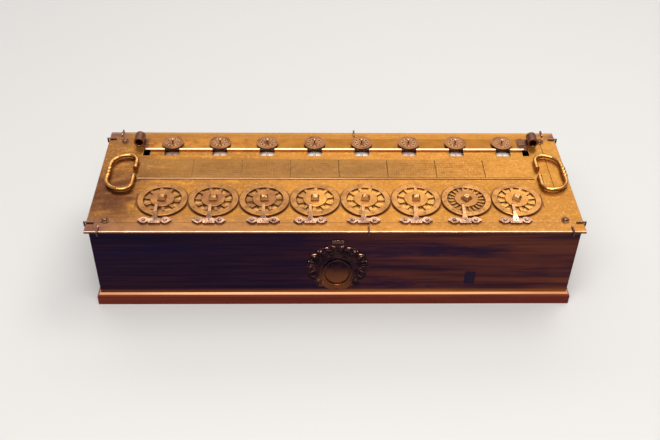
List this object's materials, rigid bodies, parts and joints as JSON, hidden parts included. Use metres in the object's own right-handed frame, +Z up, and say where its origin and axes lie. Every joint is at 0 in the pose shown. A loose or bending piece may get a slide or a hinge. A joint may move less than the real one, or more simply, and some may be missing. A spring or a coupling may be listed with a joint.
{
  "type": "mechanical calculator",
  "caption": "Box-shaped adding machine with a row of spoked stylus dials, number drums under windows, a sliding cover bar, carry levers and drop handles.",
  "frame": {"origin": "middle of the resting face under the base board", "axes": "+X along the row of dials to the right, +Y from the dials to the windows, +Z up"},
  "size_m": [0.3638, 0.1258, 0.0823],
  "materials": {
    "base_wood": "polished, red-brown",
    "case_wood": "dark stained, worn",
    "plate_brass": "brushed, patinated",
    "ring_brass": "turned, patinated",
    "wheel_brass": "turned, worn bright",
    "stop_metal": "engraved, pinkish",
    "bar_brass": "brushed",
    "disc_brass": "dull, patinated",
    "handle_brass": "polished",
    "frame_brass": "filed",
    "lever_brass": "filed",
    "arbor_steel": "turned",
    "drum_paper": "aged paper on a drum",
    "relief_brass": "dark cast relief"
  },
  "bodies": {
    "case": {"base_board": "base_wood", "front_board": "case_wood", "back_board": "case_wood", "left_board": "case_wood", "right_board": "case_wood", "top_plate": "plate_brass", "dial_rings": "ring_brass", "stylus_stops": "stop_metal", "stop_screws": "stop_metal", "engraved_strip": "plate_brass", "front_bearing_plate": "frame_brass", "rear_bearing_plate": "frame_brass", "drum_bearing_plate": "frame_brass", "handle_eyes": "handle_brass", "edge_hooks": "stop_metal", "corner_screws": "bar_brass", "front_cartouche": "relief_brass", "catch_plate": "stop_metal"},
    "sliding_bar": {"sliding_bar": "bar_brass"},
    "left_handle": {"left_handle": "handle_brass"},
    "right_handle": {"right_handle": "handle_brass"},
    "dial_wheel_1": {"dial_wheel_1": "wheel_brass"},
    "cross_shaft_1": {"cross_shaft_1": "arbor_steel"},
    "number_drum_1": {"number_drum_1": "drum_paper"},
    "memory_disc_1": {"memory_disc_1": "disc_brass"},
    "dial_wheel_2": {"dial_wheel_2": "wheel_brass"},
    "cross_shaft_2": {"cross_shaft_2": "arbor_steel"},
    "number_drum_2": {"number_drum_2": "drum_paper"},
    "memory_disc_2": {"memory_disc_2": "disc_brass"},
    "dial_wheel_3": {"dial_wheel_3": "wheel_brass"},
    "cross_shaft_3": {"cross_shaft_3": "arbor_steel"},
    "number_drum_3": {"number_drum_3": "drum_paper"},
    "memory_disc_3": {"memory_disc_3": "disc_brass"},
    "dial_wheel_4": {"dial_wheel_4": "wheel_brass"},
    "cross_shaft_4": {"cross_shaft_4": "arbor_steel"},
    "number_drum_4": {"number_drum_4": "drum_paper"},
    "memory_disc_4": {"memory_disc_4": "disc_brass"},
    "dial_wheel_5": {"dial_wheel_5": "wheel_brass"},
    "cross_shaft_5": {"cross_shaft_5": "arbor_steel"},
    "number_drum_5": {"number_drum_5": "drum_paper"},
    "memory_disc_5": {"memory_disc_5": "disc_brass"},
    "dial_wheel_6": {"dial_wheel_6": "wheel_brass"},
    "cross_shaft_6": {"cross_shaft_6": "arbor_steel"},
    "number_drum_6": {"number_drum_6": "drum_paper"},
    "memory_disc_6": {"memory_disc_6": "disc_brass"},
    "dial_wheel_7": {"dial_wheel_7": "wheel_brass"},
    "cross_shaft_7": {"cross_shaft_7": "arbor_steel"},
    "number_drum_7": {"number_drum_7": "drum_paper"},
    "memory_disc_7": {"memory_disc_7": "disc_brass"},
    "dial_wheel_8": {"dial_wheel_8": "wheel_brass"},
    "cross_shaft_8": {"cross_shaft_8": "arbor_steel"},
    "number_drum_8": {"number_drum_8": "drum_paper"},
    "memory_disc_8": {"memory_disc_8": "disc_brass"},
    "carry_lever_1": {"carry_lever_1": "lever_brass"},
    "carry_lever_2": {"carry_lever_2": "lever_brass"},
    "carry_lever_3": {"carry_lever_3": "lever_brass"},
    "carry_lever_4": {"carry_lever_4": "lever_brass"},
    "carry_lever_5": {"carry_lever_5": "lever_brass"},
    "carry_lever_6": {"carry_lever_6": "lever_brass"},
    "carry_lever_7": {"carry_lever_7": "lever_brass"}
  },
  "joints": [
    {"name": "bar_slide", "type": "slide", "parent": "case", "child": "sliding_bar", "axis": [0, -1, 0], "range_m": [0, 0.0064]},
    {"name": "left_handle_swing", "type": "hinge", "parent": "case", "child": "left_handle", "pos_m": [-0.1533, 0.0054, 0.0764], "axis": [0, 1, 0], "range_deg": [0, 150]},
    {"name": "right_handle_swing", "type": "hinge", "parent": "case", "child": "right_handle", "pos_m": [0.1575, 0.0054, 0.0764], "axis": [0, -1, 0], "range_deg": [0, 150]},
    {"name": "dial_turn_1", "type": "hinge", "parent": "case", "child": "dial_wheel_1", "pos_m": [-0.1282, -0.0262, 0.074], "axis": [0, 0, 1], "continuous": true},
    {"name": "shaft_turn_1", "type": "hinge", "parent": "case", "child": "cross_shaft_1", "pos_m": [-0.1282, 0, 0.03], "axis": [0, 1, 0], "continuous": true},
    {"name": "drum_turn_1", "type": "hinge", "parent": "case", "child": "number_drum_1", "pos_m": [-0.1282, 0.03, 0.055], "axis": [0, 1, 0], "continuous": true},
    {"name": "memory_turn_1", "type": "hinge", "parent": "sliding_bar", "child": "memory_disc_1", "pos_m": [-0.1282, 0.04305, 0.0762], "axis": [0, 0, 1], "continuous": true},
    {"name": "dial_turn_2", "type": "hinge", "parent": "case", "child": "dial_wheel_2", "pos_m": [-0.0906, -0.0262, 0.074], "axis": [0, 0, 1], "continuous": true},
    {"name": "shaft_turn_2", "type": "hinge", "parent": "case", "child": "cross_shaft_2", "pos_m": [-0.0906, 0, 0.03], "axis": [0, 1, 0], "continuous": true},
    {"name": "drum_turn_2", "type": "hinge", "parent": "case", "child": "number_drum_2", "pos_m": [-0.0906, 0.03, 0.055], "axis": [0, 1, 0], "continuous": true},
    {"name": "memory_turn_2", "type": "hinge", "parent": "sliding_bar", "child": "memory_disc_2", "pos_m": [-0.0906, 0.04305, 0.0762], "axis": [0, 0, 1], "continuous": true},
    {"name": "dial_turn_3", "type": "hinge", "parent": "case", "child": "dial_wheel_3", "pos_m": [-0.053, -0.0262, 0.074], "axis": [0, 0, 1], "continuous": true},
    {"name": "shaft_turn_3", "type": "hinge", "parent": "case", "child": "cross_shaft_3", "pos_m": [-0.053, 0, 0.03], "axis": [0, 1, 0], "continuous": true},
    {"name": "drum_turn_3", "type": "hinge", "parent": "case", "child": "number_drum_3", "pos_m": [-0.053, 0.03, 0.055], "axis": [0, 1, 0], "continuous": true},
    {"name": "memory_turn_3", "type": "hinge", "parent": "sliding_bar", "child": "memory_disc_3", "pos_m": [-0.053, 0.04305, 0.0762], "axis": [0, 0, 1], "continuous": true},
    {"name": "dial_turn_4", "type": "hinge", "parent": "case", "child": "dial_wheel_4", "pos_m": [-0.0154, -0.0262, 0.074], "axis": [0, 0, 1], "continuous": true},
    {"name": "shaft_turn_4", "type": "hinge", "parent": "case", "child": "cross_shaft_4", "pos_m": [-0.0154, 0, 0.03], "axis": [0, 1, 0], "continuous": true},
    {"name": "drum_turn_4", "type": "hinge", "parent": "case", "child": "number_drum_4", "pos_m": [-0.0154, 0.03, 0.055], "axis": [0, 1, 0], "continuous": true},
    {"name": "memory_turn_4", "type": "hinge", "parent": "sliding_bar", "child": "memory_disc_4", "pos_m": [-0.0154, 0.04305, 0.0762], "axis": [0, 0, 1], "continuous": true},
    {"name": "dial_turn_5", "type": "hinge", "parent": "case", "child": "dial_wheel_5", "pos_m": [0.0222, -0.0262, 0.074], "axis": [0, 0, 1], "continuous": true},
    {"name": "shaft_turn_5", "type": "hinge", "parent": "case", "child": "cross_shaft_5", "pos_m": [0.0222, 0, 0.03], "axis": [0, 1, 0], "continuous": true},
    {"name": "drum_turn_5", "type": "hinge", "parent": "case", "child": "number_drum_5", "pos_m": [0.0222, 0.03, 0.055], "axis": [0, 1, 0], "continuous": true},
    {"name": "memory_turn_5", "type": "hinge", "parent": "sliding_bar", "child": "memory_disc_5", "pos_m": [0.0222, 0.04305, 0.0762], "axis": [0, 0, 1], "continuous": true},
    {"name": "dial_turn_6", "type": "hinge", "parent": "case", "child": "dial_wheel_6", "pos_m": [0.0598, -0.0262, 0.074], "axis": [0, 0, 1], "continuous": true},
    {"name": "shaft_turn_6", "type": "hinge", "parent": "case", "child": "cross_shaft_6", "pos_m": [0.0598, 0, 0.03], "axis": [0, 1, 0], "continuous": true},
    {"name": "drum_turn_6", "type": "hinge", "parent": "case", "child": "number_drum_6", "pos_m": [0.0598, 0.03, 0.055], "axis": [0, 1, 0], "continuous": true},
    {"name": "memory_turn_6", "type": "hinge", "parent": "sliding_bar", "child": "memory_disc_6", "pos_m": [0.0598, 0.04305, 0.0762], "axis": [0, 0, 1], "continuous": true},
    {"name": "dial_turn_7", "type": "hinge", "parent": "case", "child": "dial_wheel_7", "pos_m": [0.0974, -0.0262, 0.074], "axis": [0, 0, 1], "continuous": true},
    {"name": "shaft_turn_7", "type": "hinge", "parent": "case", "child": "cross_shaft_7", "pos_m": [0.0974, 0, 0.03], "axis": [0, 1, 0], "continuous": true},
    {"name": "drum_turn_7", "type": "hinge", "parent": "case", "child": "number_drum_7", "pos_m": [0.0974, 0.03, 0.055], "axis": [0, 1, 0], "continuous": true},
    {"name": "memory_turn_7", "type": "hinge", "parent": "sliding_bar", "child": "memory_disc_7", "pos_m": [0.0974, 0.04305, 0.0762], "axis": [0, 0, 1], "continuous": true},
    {"name": "dial_turn_8", "type": "hinge", "parent": "case", "child": "dial_wheel_8", "pos_m": [0.135, -0.0262, 0.074], "axis": [0, 0, 1], "continuous": true},
    {"name": "shaft_turn_8", "type": "hinge", "parent": "case", "child": "cross_shaft_8", "pos_m": [0.135, 0, 0.03], "axis": [0, 1, 0], "continuous": true},
    {"name": "drum_turn_8", "type": "hinge", "parent": "case", "child": "number_drum_8", "pos_m": [0.135, 0.03, 0.055], "axis": [0, 1, 0], "continuous": true},
    {"name": "memory_turn_8", "type": "hinge", "parent": "sliding_bar", "child": "memory_disc_8", "pos_m": [0.135, 0.04305, 0.0762], "axis": [0, 0, 1], "continuous": true},
    {"name": "carry_lift_1", "type": "hinge", "parent": "case", "child": "carry_lever_1", "pos_m": [-0.1282, 0.009, 0.03], "axis": [0, -1, 0], "range_deg": [0, 25]},
    {"name": "carry_lift_2", "type": "hinge", "parent": "case", "child": "carry_lever_2", "pos_m": [-0.0906, 0.009, 0.03], "axis": [0, -1, 0], "range_deg": [0, 25]},
    {"name": "carry_lift_3", "type": "hinge", "parent": "case", "child": "carry_lever_3", "pos_m": [-0.053, 0.009, 0.03], "axis": [0, -1, 0], "range_deg": [0, 25]},
    {"name": "carry_lift_4", "type": "hinge", "parent": "case", "child": "carry_lever_4", "pos_m": [-0.0154, 0.009, 0.03], "axis": [0, -1, 0], "range_deg": [0, 25]},
    {"name": "carry_lift_5", "type": "hinge", "parent": "case", "child": "carry_lever_5", "pos_m": [0.0222, 0.009, 0.03], "axis": [0, -1, 0], "range_deg": [0, 25]},
    {"name": "carry_lift_6", "type": "hinge", "parent": "case", "child": "carry_lever_6", "pos_m": [0.0598, 0.009, 0.03], "axis": [0, -1, 0], "range_deg": [0, 25]},
    {"name": "carry_lift_7", "type": "hinge", "parent": "case", "child": "carry_lever_7", "pos_m": [0.0974, 0.009, 0.03], "axis": [0, -1, 0], "range_deg": [0, 25]}
  ],
  "couplings": [
    {"joint": "shaft_turn_1", "follows": "dial_turn_1", "ratio": -1},
    {"joint": "drum_turn_1", "follows": "dial_turn_1", "ratio": 1},
    {"joint": "shaft_turn_2", "follows": "dial_turn_2", "ratio": -1},
    {"joint": "drum_turn_2", "follows": "dial_turn_2", "ratio": 1},
    {"joint": "shaft_turn_3", "follows": "dial_turn_3", "ratio": -1},
    {"joint": "drum_turn_3", "follows": "dial_turn_3", "ratio": 1},
    {"joint": "shaft_turn_4", "follows": "dial_turn_4", "ratio": -1},
    {"joint": "drum_turn_4", "follows": "dial_turn_4", "ratio": 1},
    {"joint": "shaft_turn_5", "follows": "dial_turn_5", "ratio": -1},
    {"joint": "drum_turn_5", "follows": "dial_turn_5", "ratio": 1},
    {"joint": "shaft_turn_6", "follows": "dial_turn_6", "ratio": -1},
    {"joint": "drum_turn_6", "follows": "dial_turn_6", "ratio": 1},
    {"joint": "shaft_turn_7", "follows": "dial_turn_7", "ratio": -1},
    {"joint": "drum_turn_7", "follows": "dial_turn_7", "ratio": 1},
    {"joint": "shaft_turn_8", "follows": "dial_turn_8", "ratio": -1},
    {"joint": "drum_turn_8", "follows": "dial_turn_8", "ratio": 1}
  ]
}
